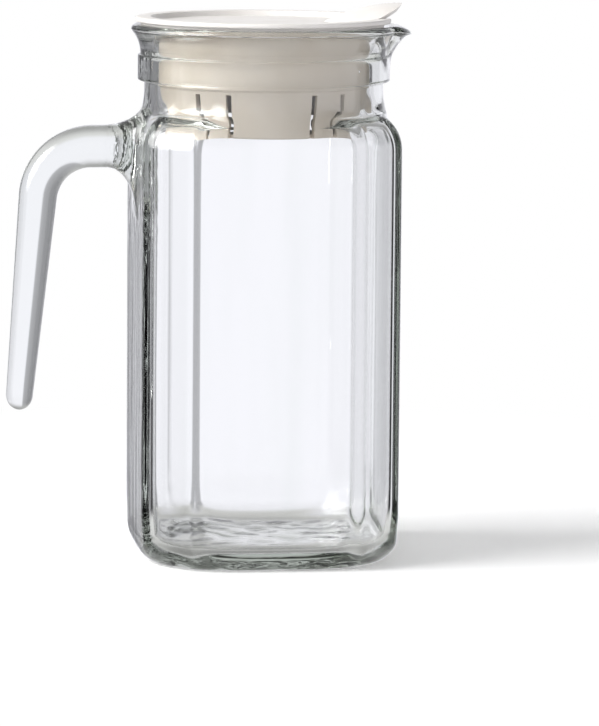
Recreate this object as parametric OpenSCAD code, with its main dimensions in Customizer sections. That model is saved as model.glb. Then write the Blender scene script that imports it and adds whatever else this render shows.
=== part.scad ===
// Square glass jug with clipped corners, an open-ended glass handle and a turning strainer lid.
// Z runs up the jug's axis from the table, +X points to the spout and the handle is at -X.

/* [Jug body] */
// Width across two opposite flat sides
body_w = 70.8; // [55:0.1:110]
// Width of each flat that clips a corner
corner_w = 17; // [6:0.5:24]
// Radius of the upright edges, outside
edge_r = 2; // [0.5:0.1:4]
// Radius of the upright edges, inside
edge_in_r = 3; // [1:0.1:6]
// Glass thickness of the sides
wall_t = 3.2; // [2:0.1:5]
// Glass thickness at the base
base_t = 8; // [4:0.5:14]
// Height at which the straight sides end
side_top_z = 114; // [70:0.5:200]
// Radius of the bend between base and upright edges, outside
heel_r = 6; // [4:0.1:24]
// Radius of the bend between base and flat sides, outside
side_heel_r = 5; // [2:0.1:12]
// Width of the ring that the jug stands on, at the flat sides
foot_ring_w = 4; // [2:0.5:8]
// Height of the hollow under the base
push_h = 1.5; // [0.5:0.1:4]
// Radius of the bend between floor and upright edges, inside
heel_in_r = 7; // [3:0.5:14]
// Radius of the bend between floor and flat sides, inside
side_heel_in_r = 4.5; // [2:0.5:9]

/* [Shoulder and neck] */
// Radius of the round top of the shoulder
shoulder_r = 9; // [5:0.5:20]
// Radius of the hollow bend from the shoulder to the neck
shoulder_bend_r = 2; // [1:0.5:12]
// How far the neck stands back from the flat sides
neck_set = 2.6; // [0.5:0.1:6]
// Height of the plain neck under the bead
neck_h = 6.25; // [3:0.05:15]
// Glass thickness of the neck, round the bore that takes the plug
neck_t = 3.5; // [2:0.1:6]
// How far the bead stands out from the neck
bead_out = 1.8; // [0.8:0.1:4]
// Height of the bead
bead_h = 7.1; // [3:0.1:12]
// Radius of the bead's edges
bead_edge_r = 0.6; // [0.2:0.1:1.5]

/* [Mouth and spout] */
// Height from the bead to the rim
mouth_h = 8.2; // [5:0.1:15]
// How far the glass just above the bead stands out from the neck
mouth_out = 1.1; // [0:0.1:3]
// How far the rim flares out from there
flare_out = 2.6; // [0.5:0.1:6]
// Radius of the rim's outer edge
lip_r = 1.5; // [0.5:0.1:2.5]
// How much wider the mouth is than the bore, under the rim's edge
mouth_in_out = 1.9; // [0.5:0.1:4]
// Radius of the rim's inner edge
lip_in_r = 0.8; // [0.3:0.1:1.5]
// How far the spout's tip stands out from the rim
spout_out = 4.2; // [2:0.1:12]
// Radius of the spout's tip seen from above
spout_r = 16.6; // [10:0.1:25]
// How far the tip hangs below the rim
spout_drop = 1.9; // [0.5:0.1:4]
// Height of the spout's curve
spout_h = 10; // [6:0.1:20]
// Glass thickness at the spout's edge
spout_t = 2.7; // [1.5:0.1:4]
// How deep the spout's curve starts inside the wall that it leaves
spout_sink = 0.5; // [0.3:0.1:2]

/* [Handle] */
// Drop of the arm's centre line below the end of the straight sides
arm_drop = 0.9; // [0:0.1:8]
// Length of the arm, from the flat side to the bend
arm_l = 11.8; // [5:0.1:40]
// Radius of the bend's centre line
bend_r = 14.9; // [10:0.1:30]
// Angle that the grip leans out from upright
grip_lean = 5.2; // [0:0.1:15]
// Length of the grip
grip_l = 59.1; // [30:0.1:150]
// Thickness of the arm, seen from the side
arm_t = 11.6; // [6:0.1:20]
// Width of the arm, seen from above
arm_w = 13.5; // [6:0.1:24]
// Thickness at the open end
tip_t = 7.1; // [4:0.1:16]
// Width at the open end
tip_w = 9.5; // [4:0.1:18]
// Rise of the root up to the neck, above the arm
root_up = 7; // [2:0.1:16]
// Length of that rise, from the flat side
root_up_l = 9; // [4:0.5:20]
// Drop of the root down the side, below the arm
root_down = 12; // [2:0.1:24]
// Length of that drop, from the flat side
root_down_l = 8; // [3:0.5:18]
// Width of the root where it joins the side
root_w = 20; // [14:0.5:34]

/* [Lid cover] */
// How far the cover's edge stands back from the rim
cover_set = 1.2; // [0:0.1:3]
// Thickness of the cover's edge
cover_t = 1.4; // [1:0.1:3]
// Height of the step that seats on the glass rim
seat_h = 0.7; // [0.3:0.1:2]
// How far that seat stands back from the cover's edge
seat_set = 1.5; // [0.5:0.1:3]
// Width of the flat margin round the shallow dish on top
dish_set = 4.8; // [2:0.1:8]
// Depth of the dish
dish_h = 1.5; // [0.5:0.1:3]
// Depth of the spigot that centres the cover in the plug
spigot_h = 1; // [0.5:0.1:4]
// Radius of the cover's edges
cover_edge_r = 0.4; // [0.1:0.1:0.6]
// How far the tab's tip stands out from the cover
tab_out = 2.7; // [1:0.1:12]
// Radius of the tab's tip seen from above
tab_r = 17; // [8:0.1:24]
// Height of the tab's tip above the cover
tab_h = 3.8; // [1:0.1:8]
// Length of the tab's rise, seen from the side
tab_l = 18.5; // [10:0.5:30]
// Crossways radius of the arched tab
tab_arch_r = 24; // [14:0.5:60]
// Thickness of the tab
tab_t = 1.4; // [0.8:0.1:3]

/* [Lid plug] */
// Thickness of the plug's wall
plug_t = 1.6; // [1:0.1:3]
// Length of the plug below the seat
plug_l = 29.6; // [18:0.1:50]
// Length of its upper, sealing part
seal_l = 16.8; // [8:0.1:30]
// Step from the sealing part to the skirt
seal_step = 0.6; // [0.2:0.1:1.5]
// How much the skirt narrows to its foot
skirt_taper = 0.9; // [0:0.1:3]
// Thickness of the plug's floor
floor_t = 1; // [0.8:0.1:3]
// Height of the band sunk into the skirt's foot
band_h = 7.1; // [2:0.1:12]
// Depth of that band
band_d = 0.8; // [0.2:0.1:1.2]
// Half the angle of the flush tongue that breaks the band
tongue_a = 27; // [10:1:60]
// Radius of the tongue's upper corners
tongue_corner_r = 1.3; // [0.5:0.1:3]
// Width of each strainer slot
slot_w = 1.5; // [0.8:0.1:3]
// Length of each strainer slot
slot_l = 12; // [5:0.1:20]
// Angle of the inner pair of slots from the middle of the row
slot_in_a = 23.4; // [5:0.1:40]
// Angle of the outer pair of slots from the middle of the row
slot_out_a = 41.6; // [30:0.1:80]
// Angle by which all the slots sit round from the middle of the tongue, towards the handle
slot_turn_a = 2.5; // [0:0.1:6]
// Height of the pouring gap at the back of the plug
gap_h = 3; // [2:0.1:8]
// Width of that gap
gap_w = 34; // [10:0.5:44]

/* [Fit] */
// Radial clearance of the plug in the bore
plug_clear = 0.3; // [0.1:0.05:1]
// Clearance of the cover's spigot in the plug
spigot_clear = 0.2; // [0.1:0.05:0.6]

/* [Hidden] */
$fn = 96;
// Overrun of cuts
over = 1;
// Steps along a profile's curve, along the handle and round it
curve_n = 8;
bend_n = 14;
ring_n = 32;
// Steps round an upright edge
edge_n = 3;
// How square the handle's section is, 2 being an ellipse
section_p = 2.5;
// Shares that shape the spout's curve and its lip
spout_c_shares = [0.25, 0.66];
spout_edge_share = 0.2;
spout_top_share = 0.3;
// How far outside the neck and the bore the flat sides end
neck_gap = 0.1;
// Share of the bead's height at which the bore starts to open
bore_top_share = 0.8;

// Distances of the flats from the axis
flat_d = body_w / 2;
corner_d = (body_w - corner_w / sqrt(2)) / sqrt(2);
// Radius through the corners of the outline
env_r = norm([flat_d, flat_d - corner_w / sqrt(2)]);
env_in_r = env_r - wall_t;
foot_r = env_r - heel_r;
foot_in_r = flat_d - side_heel_r - foot_ring_w;

// Radii of the neck, mouth and spout
neck_r = flat_d - neck_set;
bore_r = neck_r - neck_t;
bead_r = neck_r + bead_out;
mouth_root_r = neck_r + mouth_out;
rim_r = mouth_root_r + flare_out;
mouth_in_r = bore_r + mouth_in_out;
spout_reach = rim_r + spout_out;

// Two opposite bends lead each wall inwards over a step, with a level part between them on a wide jug
bends_r = shoulder_r + shoulder_bend_r;
function bend_a_over(step) = acos(max(1 - step / bends_r, 0));
shoulder_in_r = shoulder_r - wall_t;
bend_in_r = shoulder_bend_r + wall_t;
neck_a = bend_a_over(env_r - neck_r);
bore_a = bend_a_over(env_in_r - bore_r);
neck_z = side_top_z + bends_r * sin(neck_a);
bore_z = side_top_z + bends_r * sin(bore_a);
bead_z = neck_z + neck_h;
mouth_z = bead_z + bead_h;
rim_z = mouth_z + mouth_h;
bore_top_z = bead_z + bead_h * bore_top_share;

// Spout, a small trumpet whose axis stands inside the mouth
spout_x = spout_reach - spout_r;
spout_tip_z = rim_z - spout_drop;
spout_root_z = spout_tip_z - spout_h;

// Lid radii and levels
cover_r = rim_r - cover_set;
seat_r = cover_r - seat_set;
dish_r = cover_r - dish_set;
tab_reach = cover_r + tab_out;
edge_z = rim_z + seat_h;
cover_z = edge_z + cover_t;
dish_z = cover_z - dish_h;
plug_r = bore_r - plug_clear;
skirt_r = plug_r - seal_step;
skirt_low_r = skirt_r - skirt_taper;
seal_z = rim_z - seal_l;
plug_z = rim_z - plug_l;
floor_z = plug_z + floor_t;
band_z = plug_z + band_h;
spigot_r = plug_r - plug_t - spigot_clear;

// Tab, an arched sheet that rises out of the cover
tab_x = tab_reach - tab_r;
tab_ridge_r = (tab_l * tab_l + tab_h * tab_h) / (2 * tab_h);
tab_foot_r = cover_r - cover_edge_r - tab_x;
tab_open_a = atan(tab_r / tab_x);

function arc(x, y, r, a0, a1, first = 0) =
    [for (i = [first:curve_n]) let (a = a0 + (a1 - a0) * i / curve_n)
        [x + r * cos(a), y + r * sin(a)]];

// Curve from p0 to p2 that leaves and arrives along the lines to p1
function bow(p0, p1, p2) =
    [for (i = [0:curve_n]) let (t = i / curve_n)
        (1 - t) * (1 - t) * p0 + 2 * t * (1 - t) * p1 + t * t * p2];

// Square outline with clipped corners and rounded upright edges, drawn in by inset
function face_d(k, inset) = (k % 2 == 0 ? flat_d : corner_d) - inset;
function clipped_square(inset, r) =
    [for (k = [0:7]) let (a = 45 * k,
            d1 = face_d(k, inset) - r, d2 = face_d(k + 1, inset) - r,
            s = pow(sin(45), 2),
            u = (d1 - d2 * cos(45)) / s, v = (d2 - d1 * cos(45)) / s)
        for (i = [0:edge_n]) let (b = a + 45 * i / edge_n)
            [u * cos(a) + v * cos(a + 45) + r * cos(b),
             u * sin(a) + v * sin(a + 45) + r * sin(b)]];

// Outside of the vessel: a turned form whose straight part is pressed to flat sides
module vessel_outside() {
    dome_r = (foot_in_r * foot_in_r + push_h * push_h) / (2 * push_h);
    flare_h = mouth_h - lip_r;
    flare_r = (flare_h * flare_h + flare_out * flare_out) / (2 * flare_out);
    intersection() {
        rotate_extrude() polygon(concat(
            arc(0, push_h - dome_r, dome_r, 90, 90 - asin(foot_in_r / dome_r)),
            arc(foot_r, heel_r, heel_r, -90, 0),
            arc(env_r - shoulder_r, side_top_z, shoulder_r, 0, neck_a),
            arc(neck_r + shoulder_bend_r, neck_z, shoulder_bend_r, 180 + neck_a, 180),
            [[neck_r, bead_z]],
            arc(bead_r - bead_edge_r, bead_z + bead_edge_r, bead_edge_r, -90, 0),
            arc(bead_r - bead_edge_r, mouth_z - bead_edge_r, bead_edge_r, 0, 90),
            arc(mouth_root_r + flare_r, mouth_z, flare_r, 180, 180 - asin(flare_h / flare_r)),
            arc(rim_r - lip_r, rim_z - lip_r, lip_r, 0, 90, 1),
            [[0, rim_z]]));
        flat_sides(0, edge_r, rim_r + over, side_heel_r, 0);
    }
}

// Inside of the vessel, up through the mouth
module vessel_inside() {
    intersection() {
        rotate_extrude() polygon(concat(
            [[0, base_t]],
            arc(env_in_r - heel_in_r, base_t + heel_in_r, heel_in_r, -90, 0),
            arc(env_in_r - shoulder_in_r, side_top_z, shoulder_in_r, 0, bore_a),
            arc(bore_r + bend_in_r, bore_z, bend_in_r, 180 + bore_a, 180),
            [[bore_r, bore_top_z]],
            arc(mouth_in_r + lip_in_r, rim_z - lip_in_r, lip_in_r, 180, 90),
            [[mouth_in_r + lip_in_r, rim_z + over], [0, rim_z + over]]));
        flat_sides(wall_t, edge_in_r, rim_r, side_heel_in_r, base_t);
    }
}

// Line by which a flat side bends in to the neck, or to the bore when inset
function into_neck(inset) = let (
        d = flat_d - inset, r = shoulder_r - inset, low = shoulder_bend_r + inset,
        step = d - neck_gap - (inset > 0 ? bore_r : neck_r), a = bend_a_over(step),
        top_z = inset > 0 ? bore_z : neck_z)
    concat(
        arc(d - r, top_z - bends_r * sin(a), r, 0, a),
        arc(d - step + low, top_z, low, 180 + a, 180),
        [[d - step, rim_z]]);

// Slab between two opposite flats, which curve in to a level floor and the wide ones to the neck
module opposite_flats(k, inset, low_r, low_z) {
    d = face_d(k, inset);
    upper = k % 2 == 0 ? into_neck(inset) : [[d, rim_z]];
    rotate([90, 0, 45 * k]) linear_extrude(env_r * 2 + over, center = true) polygon(concat(
        arc(low_r - d, low_z + low_r, low_r, 180, 270),
        arc(d - low_r, low_z + low_r, low_r, -90, 0),
        upper, [for (i = [len(upper) - 1:-1:0]) [-upper[i].x, upper[i].y]]));
}

// The flat sides end inside the neck, and the round neck and mouth pass above them
module flat_sides(inset, r, round_r, low_r, low_z) {
    intersection() {
        linear_extrude(neck_z + neck_h / 2) polygon(clipped_square(inset, r));
        opposite_flats(0, inset, low_r, low_z);
        opposite_flats(1, inset, low_r, low_z);
        opposite_flats(2, inset, low_r, low_z);
        opposite_flats(3, inset, low_r, low_z);
    }
    translate([0, 0, neck_z + neck_h / 4]) cylinder(h = rim_z - neck_z, r = round_r);
}

module spout_outside() {
    root = [bead_r - spout_x - spout_sink, spout_root_z];
    tip = [spout_r, spout_tip_z];
    bend = [root.x + (tip.x - root.x) * spout_c_shares.x,
            root.y + (tip.y - root.y) * spout_c_shares.y];
    translate([spout_x, 0, 0]) rotate_extrude() polygon(concat(
        [[0, root.y]],
        bow(root, bend, tip),
        [[tip.x - spout_t * spout_edge_share, tip.y + spout_drop * spout_top_share],
         [tip.x - spout_t, rim_z], [0, rim_z]]));
}

module spout_inside() {
    root = [bore_r - spout_x - spout_sink, spout_root_z];
    top = [spout_r - spout_t, rim_z];
    bend = [root.x + (top.x - root.x) * spout_c_shares.x,
            root.y + (top.y - root.y) * spout_c_shares.y];
    translate([spout_x, 0, 0]) rotate_extrude() polygon(concat(
        [[0, root.y]],
        bow(root, bend, top),
        [[top.x, rim_z + over], [0, rim_z + over]]));
}

module jug_body() {
    color([0.86, 0.9, 0.9, 0.5]) difference() {
        union() {
            vessel_outside();
            spout_outside();
        }
        vessel_inside();
        spout_inside();
    }
}

// Handle: rounded sections along an arm, a bend and a grip that ends free.
// Each station is [x, z, angle of the line, thickness, width].
arm_z = side_top_z - arm_drop;
bend_x = -flat_d - arm_l;
bend_z = arm_z - bend_r;
bend_a = 90 - grip_lean;
bend_l = bend_r * bend_a * PI / 180;
function flare(d, l) = d >= l ? 0 : d <= 0 ? 1 : 1 - sqrt(1 - pow(1 - d / l, 2));
function along(s) = s / (bend_l + grip_l);
function thick(s) = arm_t + (tip_t - arm_t) * along(s);
function wide(s) = arm_w + (tip_w - arm_w) * along(s);
// The root rises to the neck, which stands back, and drops down the flat side
root_rows = [for (i = [0:curve_n])
    let (d = (root_up_l + neck_set + over) * (1 - cos(90 * i / curve_n)) - neck_set - over,
        up = arm_t / 2 + root_up * flare(d + neck_set, root_up_l + neck_set),
        down = arm_t / 2 + root_down * flare(d, root_down_l))
    [-flat_d - d, arm_z + (up - down) / 2, 180, up + down,
     arm_w + (root_w - arm_w) * flare(d, root_down_l)]];
bend_rows = [for (i = [0:bend_n]) let (a = bend_a * i / bend_n, s = bend_l * i / bend_n)
    [bend_x - bend_r * sin(a), bend_z + bend_r * cos(a), 180 + a, thick(s), wide(s)]];
tip_cap_l = tip_t / 2;
grip_rows = [for (i = [1:curve_n]) let (g = (grip_l - tip_cap_l) * i / curve_n, s = bend_l + g)
    [bend_x - bend_r * cos(grip_lean) - g * sin(grip_lean),
     bend_z + bend_r * sin(grip_lean) - g * cos(grip_lean),
     270 - grip_lean, thick(s), wide(s)]];
cap_rows = [for (i = [1:curve_n - 1]) let (a = 90 * i / curve_n,
        g = grip_l - tip_cap_l * (1 - sin(a)), s = bend_l + grip_l)
    [bend_x - bend_r * cos(grip_lean) - g * sin(grip_lean),
     bend_z + bend_r * sin(grip_lean) - g * cos(grip_lean),
     270 - grip_lean, thick(s) * cos(a), wide(s) * (1 - tip_t / tip_w * (1 - cos(a)))]];
rows = concat(root_rows, bend_rows, grip_rows, cap_rows);

function round_off(v) = sign(v) * pow(abs(v), 2 / section_p);
function section(row) = [for (k = [0:ring_n - 1]) let (a = 360 * k / ring_n,
        t = row[3] / 2 * round_off(cos(a)), w = row[4] / 2 * round_off(sin(a)))
    [row[0] + t * sin(row[2]), w, row[1] - t * cos(row[2])]];

module handle_sweep() {
    n = len(rows);
    polyhedron(
        points = [for (row = rows) each section(row)],
        faces = concat(
            [[for (k = [0:ring_n - 1]) k]],
            [[for (k = [0:ring_n - 1]) n * ring_n - 1 - k]],
            [for (i = [0:n - 2], k = [0:ring_n - 1])
                let (a = i * ring_n + k, b = i * ring_n + (k + 1) % ring_n)
                [b, a, a + ring_n]],
            [for (i = [0:n - 2], k = [0:ring_n - 1])
                let (a = i * ring_n + k, b = i * ring_n + (k + 1) % ring_n)
                [b, a + ring_n, b + ring_n]]));
}

module handle() {
    color([0.8, 0.86, 0.86, 0.6]) difference() {
        handle_sweep();
        vessel_outside();
    }
}

// Barrel whose top is the tab's arched face, lowered by drop
module tab_barrel(drop) {
    half = tab_r;
    axis_r = tab_arch_r - drop;
    translate([tab_reach, 0, cover_z + tab_h - tab_ridge_r]) rotate([90, 0, 0])
        rotate_extrude() polygon(concat(
            [[tab_ridge_r - tab_arch_r, -half]],
            [for (i = [-curve_n:2:curve_n]) let (y = half * i / curve_n)
                [tab_ridge_r - tab_arch_r + sqrt(axis_r * axis_r - y * y), y]],
            [[tab_ridge_r - tab_arch_r, half]]));
}

module lid_cover() {
    color([0.93, 0.91, 0.87]) difference() {
        union() {
            rotate_extrude() polygon(concat(
                [[0, rim_z - spigot_h], [spigot_r, rim_z - spigot_h], [spigot_r, rim_z],
                 [seat_r, rim_z], [seat_r, edge_z]],
                arc(cover_r - cover_edge_r, edge_z + cover_edge_r, cover_edge_r, -90, 0),
                arc(cover_r - cover_edge_r, cover_z - cover_edge_r, cover_edge_r, 0, 90),
                [[dish_r + cover_edge_r, cover_z], [dish_r - cover_edge_r, dish_z], [0, dish_z]]));
            intersection() {
                tab_barrel(0);
                translate([tab_x, 0, edge_z])
                    cylinder(h = cover_t + tab_h, r1 = tab_foot_r, r2 = tab_r);
            }
        }
        // the tab is open underneath, outside the plug
        intersection() {
            tab_barrel(tab_t);
            rotate([0, 0, -tab_open_a]) rotate_extrude(angle = tab_open_a * 2)
                translate([plug_r + tab_t, rim_z - over])
                    square([tab_reach + over - plug_r - tab_t, seat_h + cover_t + tab_h + over * 2]);
        }
    }
}

// Cut that sinks the skirt's foot, except at the flush tongue
module band_cut() {
    tongue_w = skirt_r * sin(tongue_a);
    top_r = skirt_low_r + skirt_taper * band_h / (plug_l - seal_l);
    difference() {
        rotate_extrude() polygon([
            [skirt_low_r - band_d, plug_z - over], [top_r - band_d, band_z],
            [plug_r, band_z], [plug_r, plug_z - over]]);
        rotate([90, 0, 0]) linear_extrude(plug_r + over) {
            translate([-tongue_w, plug_z - over * 2]) square([tongue_w * 2, band_h + over * 3]);
            for (side = [-1, 1]) difference() {
                translate([side * (tongue_w + tongue_corner_r / 2), band_z - tongue_corner_r / 2])
                    square(tongue_corner_r + over / 2, center = true);
                translate([side * (tongue_w + tongue_corner_r), band_z - tongue_corner_r])
                    circle(r = tongue_corner_r);
                translate([side * (tongue_w + tongue_corner_r * 2), band_z - tongue_corner_r])
                    square(tongue_corner_r * 2, center = true);
                translate([side * (tongue_w + tongue_corner_r), band_z - tongue_corner_r * 2])
                    square(tongue_corner_r * 2, center = true);
            }
        }
    }
}

module lid_plug() {
    color([0.88, 0.85, 0.8]) difference() {
        rotate_extrude() polygon([
            [0, plug_z], [skirt_low_r, plug_z], [skirt_r, seal_z],
            [plug_r, seal_z + seal_step], [plug_r, rim_z], [plug_r - plug_t, rim_z],
            [plug_r - plug_t, seal_z + seal_step], [skirt_low_r - plug_t, floor_z], [0, floor_z]]);
        band_cut();
        for (a = [-slot_out_a, -slot_in_a, slot_in_a, slot_out_a]) rotate([0, 0, a - slot_turn_a - 90])
            translate([skirt_low_r - plug_t - over / 2, -slot_w / 2, plug_z - over])
                cube([plug_t + skirt_taper + seal_step + over, slot_w, slot_l + over]);
        translate([-gap_w / 2, 0, floor_z]) cube([gap_w, plug_r, gap_h]);
    }
}

jug_body();
handle();
lid_cover();
lid_plug();
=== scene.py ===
import math

import bmesh
import bpy
import numpy as np
from mathutils import Matrix, Vector


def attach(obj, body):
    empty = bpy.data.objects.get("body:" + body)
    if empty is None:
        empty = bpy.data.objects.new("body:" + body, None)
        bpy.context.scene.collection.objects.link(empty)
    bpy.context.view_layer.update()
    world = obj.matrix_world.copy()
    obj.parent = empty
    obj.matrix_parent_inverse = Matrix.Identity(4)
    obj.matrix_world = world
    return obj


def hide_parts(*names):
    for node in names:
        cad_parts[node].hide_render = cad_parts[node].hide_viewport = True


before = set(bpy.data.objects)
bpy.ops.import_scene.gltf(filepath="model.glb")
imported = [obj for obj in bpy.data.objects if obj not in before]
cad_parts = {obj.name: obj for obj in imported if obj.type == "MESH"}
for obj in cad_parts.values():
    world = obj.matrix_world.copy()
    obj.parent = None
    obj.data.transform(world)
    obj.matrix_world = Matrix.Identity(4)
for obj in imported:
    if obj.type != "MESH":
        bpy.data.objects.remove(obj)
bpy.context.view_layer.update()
print("frame loaded")

millimetre = 0.001  # the shapes below are drawn in millimetres
hair = 0.01  # slack when heights are compared


# drawing helpers
def roundedPath(corners, bendStep=7.0):
    # corners are (x, y, radius); each corner becomes an arc, short straights stay straight
    points = []
    for i, (x, y, radius) in enumerate(corners):
        here = Vector((x, y))
        if radius == 0 or i in (0, len(corners) - 1):
            points.append(here)
            continue
        before = Vector(corners[i - 1][:2]) - here
        after = Vector(corners[i + 1][:2]) - here
        turn = math.pi - before.angle(after)
        reach = radius * math.tan(turn / 2)
        start, end = here + before.normalized() * reach, here + after.normalized() * reach
        side = (before.normalized() + after.normalized()).normalized()
        centre = here + side * (radius / math.cos(turn / 2))
        steps = max(2, math.ceil(math.degrees(turn) / bendStep))
        first, last = start - centre, end - centre
        spread = first.angle_signed(last)
        for k in range(steps + 1):
            spot = first.copy()
            spot.rotate(Matrix.Rotation(-spread * k / steps, 2))
            points.append(centre + spot)
    return points


def evenSpacing(points, longest):
    # adds points to the long straights, so that no step is longer than longest(x, y)
    out = [points[0]]
    for a, b in zip(points, points[1:]):
        gap = (b - a).length
        if gap < 1e-6:
            continue
        count = max(1, math.ceil(gap / longest((a + b) / 2)))
        out += [a.lerp(b, k / count) for k in range(1, count + 1)]
    return out


def softMost(a, b, softness):
    top = np.maximum(a, b)
    return top + softness * np.log(np.exp((a - top) / softness) + np.exp((b - top) / softness))


def readPoints(mesh):
    points = np.empty(len(mesh.vertices) * 3)
    mesh.vertices.foreach_get("co", points)
    return points.reshape(-1, 3) / millimetre


def writePoints(mesh, points):
    mesh.vertices.foreach_set("co", (points * millimetre).ravel())
    mesh.update()


def finishMesh(bm, name):
    mesh = bpy.data.meshes.new(name)
    bmesh.ops.scale(bm, vec=(millimetre,) * 3, verts=bm.verts)
    for face in bm.faces:
        face.smooth = True
    bm.to_mesh(mesh)
    bm.free()
    piece = bpy.data.objects.new(name, mesh)
    bpy.context.scene.collection.objects.link(piece)
    return piece


def spinProfile(points, steps, layerValues=None):
    bm = bmesh.new()
    wallLayer = bm.verts.layers.float.new("wall")
    ring = []
    for i, p in enumerate(points):
        v = bm.verts.new((p.x, 0, p.y))
        v[wallLayer] = layerValues[i] if layerValues else 0.0
        ring.append(v)
    edges = [bm.edges.new(pair) for pair in zip(ring, ring[1:])]
    # one eighth is turned, then copied round: far quicker than a whole turn at once
    bmesh.ops.spin(bm, geom=ring + edges, cent=(0, 0, 0), axis=(0, 0, 1), dvec=(0, 0, 0),
                   angle=math.tau / 8, steps=steps // 8)
    for k in range(3):
        copied = bmesh.ops.duplicate(bm, geom=bm.verts[:] + bm.edges[:] + bm.faces[:])["geom"]
        bmesh.ops.rotate(bm, verts=[v for v in copied if isinstance(v, bmesh.types.BMVert)],
                         cent=(0, 0, 0), matrix=Matrix.Rotation(math.tau / 8 * 2 ** k, 3, "Z"))
    bmesh.ops.remove_doubles(bm, verts=bm.verts, dist=0.0005)
    bmesh.ops.recalc_face_normals(bm, faces=bm.faces)
    return bm


def joinShapes(piece, tool, operation):
    join = piece.modifiers.new("join", "BOOLEAN")
    join.operation, join.solver, join.object = operation, "MANIFOLD", tool
    bpy.context.view_layer.update()
    joined = bpy.data.meshes.new_from_object(
        piece.evaluated_get(bpy.context.evaluated_depsgraph_get()))
    joined.materials.clear()
    piece.modifiers.clear()
    piece.data = joined
    for polygon in joined.polygons:
        polygon.use_smooth, polygon.material_index = True, 0
    bpy.data.objects.remove(tool)


def creaseEdges(piece, angle):
    # edges that turn by more than the angle stay crisp in a smooth mesh
    bm = bmesh.new()
    bm.from_mesh(piece.data)
    bmesh.ops.remove_doubles(bm, verts=bm.verts, dist=0.002 * millimetre)
    bmesh.ops.dissolve_degenerate(bm, dist=0.002 * millimetre, edges=bm.edges)
    for edge in bm.edges:
        edge.smooth = len(edge.link_faces) == 2 and edge.calc_face_angle(0) < math.radians(angle)
    bm.to_mesh(piece.data)
    bm.free()


# glass jug
jug = {
    "bodyWidth": 70.8, "cornerWidth": 17.0, "wall": 3.2, "base": 4.6, "sideTop": 114.0,
    "heelRadius": 6.0, "sideHeel": 5.0, "heelInside": 4.4, "sideHeelInside": 3.0,
    "footRing": 4.0, "push": 1.5, "pushSet": 8.0, "pushFall": 0.15, "pushBend": 20.0, "ringEdge": 2.5,
    "shoulderRadius": 9.0, "shoulderBend": 2.0, "leanFrom": 112.0, "leanTo": 129.0,
    "cornerShare": 0.62, "cornerStart": 0.55, "cornerCurve": 1.5,
    "neckSet": 2.6, "neckHeight": 6.25, "neckWall": 3.5,
    "beadOut": 1.8, "beadHeight": 7.1, "beadEdge": 0.45, "beadRoot": 0.5,
    "mouthHeight": 8.2, "mouthOut": 1.1, "mouthRoot": 0.3, "flareOut": 2.58, "flareEdge": 0.6,
    "lip": 1.5, "lipInside": 0.8, "lipMeet": 2.0, "mouthInside": 1.9, "boreTop": 0.8, "boreBend": 6.0,
    "spoutOut": 4.2, "spoutRadius": 16.6, "spoutHeight": 10.0, "spoutWall": 2.7, "spoutSink": 0.5,
    "spoutBow": (0.25, 0.66), "spoutSoft": 0.5, "spoutDrop": 1.9, "dropReach": 3.0, "dropCurve": 1.5,
    "edgeSharpness": 90, "innerSharpness": 55, "heelSharpness": 15, "heelRounding": 11.0,
    "floorFlat": 12.0, "floorWave": 0.32, "waveAcross": (0.34, 1.4, 0.17), "waveAlong": (0.41, 1.1, 0.23),
    "waveEdge": 12.0, "ringSteps": 256, "closerAtEdges": 0.5,
    "floorRings": 2.5, "footRings": 0.9, "wallRings": 7.0, "upperRings": 2.0, "shoulderRings": 0.55,
    "neckRings": 1.1, "flareSteps": 8,
}
flatDistance = jug["bodyWidth"] / 2
cornerDistance = (jug["bodyWidth"] - jug["cornerWidth"] / math.sqrt(2)) / math.sqrt(2)
outerRadius = math.hypot(flatDistance, flatDistance - jug["cornerWidth"] / math.sqrt(2))
innerRadius = outerRadius - jug["wall"]
footRadius = outerRadius - jug["heelRadius"]
pushRadius = flatDistance - jug["sideHeel"] - jug["footRing"]
neckRadius = flatDistance - jug["neckSet"]
boreRadius = neckRadius - jug["neckWall"]
beadRadius = neckRadius + jug["beadOut"]
mouthRoot = neckRadius + jug["mouthOut"]
rimRadius = mouthRoot + jug["flareOut"]
mouthInner = boreRadius + jug["mouthInside"]
spoutReach = rimRadius + jug["spoutOut"]
spoutCentre = spoutReach - jug["spoutRadius"]


def shoulderLevels(outside, inside, top, low):
    # heights of the two corners that the shoulder's bends round off, and the neck's start
    angle = math.acos(1 - (outside - inside) / (top + low))
    neck = jug["sideTop"] + (top + low) * math.sin(angle)
    return jug["sideTop"] + top * math.tan(angle / 2), neck - low * math.tan(angle / 2), neck


shoulderCorner, neckCorner, neckLevel = shoulderLevels(
    outerRadius, neckRadius, jug["shoulderRadius"], jug["shoulderBend"])
innerShoulder, innerNeckCorner, _ = shoulderLevels(
    innerRadius, boreRadius, jug["shoulderRadius"] - jug["wall"], jug["shoulderBend"] + jug["wall"])
beadLevel = neckLevel + jug["neckHeight"]
mouthLevel = beadLevel + jug["beadHeight"]
rimLevel = mouthLevel + jug["mouthHeight"]
boreTopLevel = beadLevel + jug["beadHeight"] * jug["boreTop"]
spoutTipLevel = rimLevel - jug["spoutDrop"]
spoutRootLevel = spoutTipLevel - jug["spoutHeight"]


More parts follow.
